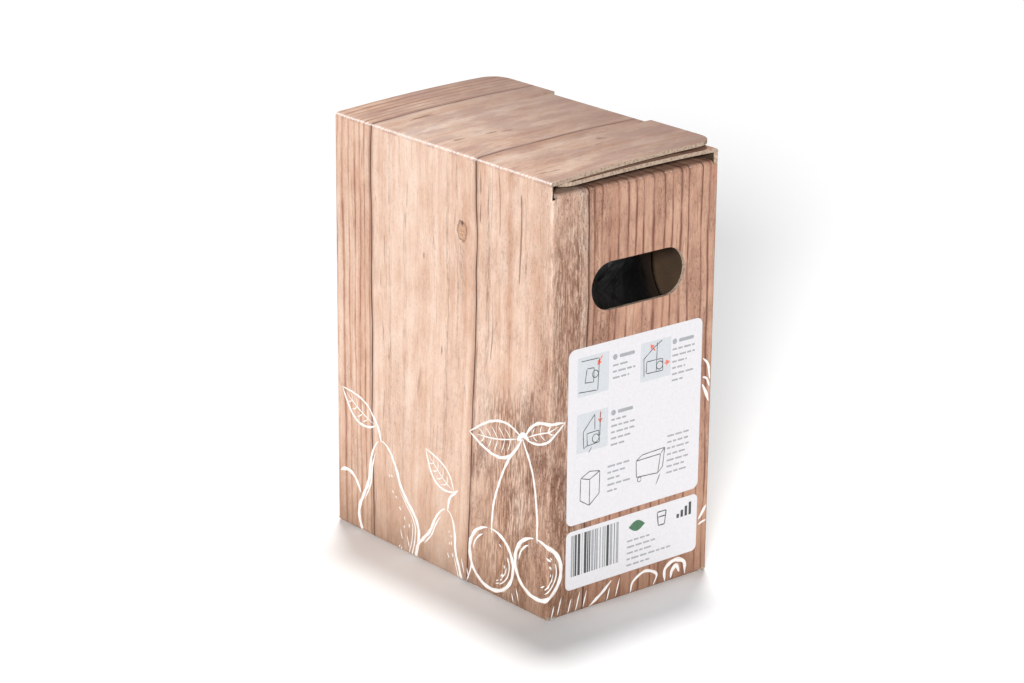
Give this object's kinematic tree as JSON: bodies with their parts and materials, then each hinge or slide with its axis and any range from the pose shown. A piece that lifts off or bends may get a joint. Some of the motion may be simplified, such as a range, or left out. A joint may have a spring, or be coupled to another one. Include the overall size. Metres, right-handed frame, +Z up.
{
  "type": "bag in box carton",
  "caption": "Upright corrugated carton with a wood plank print, a stadium hand hole, a hinged tuck-in top flap, and a filled drink bag with a push-button tap inside.",
  "frame": {"origin": "on the floor under the middle of the carton", "axes": "+Z up, +X out of the short wall with the hand hole, -Y out of the long wall that carries the hinged top flap"},
  "size_m": [0.175, 0.1092, 0.2316],
  "materials": {
    "printed_board": "matt offset print on fine-flute corrugated board",
    "flap_board": "matt offset print on fine-flute corrugated board",
    "barrier_film": "creased metallised film",
    "gland_plastic": "moulded",
    "tap_plastic": "moulded",
    "button_plastic": "moulded",
    "seal_rubber": "moulded"
  },
  "bodies": {
    "carton": {"carton_body": "printed_board", "bag": "barrier_film", "spout_gland": "gland_plastic", "tap_body": "tap_plastic"},
    "lid": {"top_flap": "flap_board"},
    "valve": {"tap_button": "button_plastic", "valve_stem": "seal_rubber"}
  },
  "joints": [
    {"name": "top_flap_hinge", "type": "hinge", "parent": "carton", "child": "lid", "pos_m": [0, -0.0546, 0.2273], "axis": [1, 0, 0], "range_deg": [0, 200]},
    {"name": "tap_press", "type": "slide", "parent": "carton", "child": "valve", "axis": [1, 0, 0], "range_m": [0, 0.0035], "stiffness_N_per_m": 600}
  ]
}
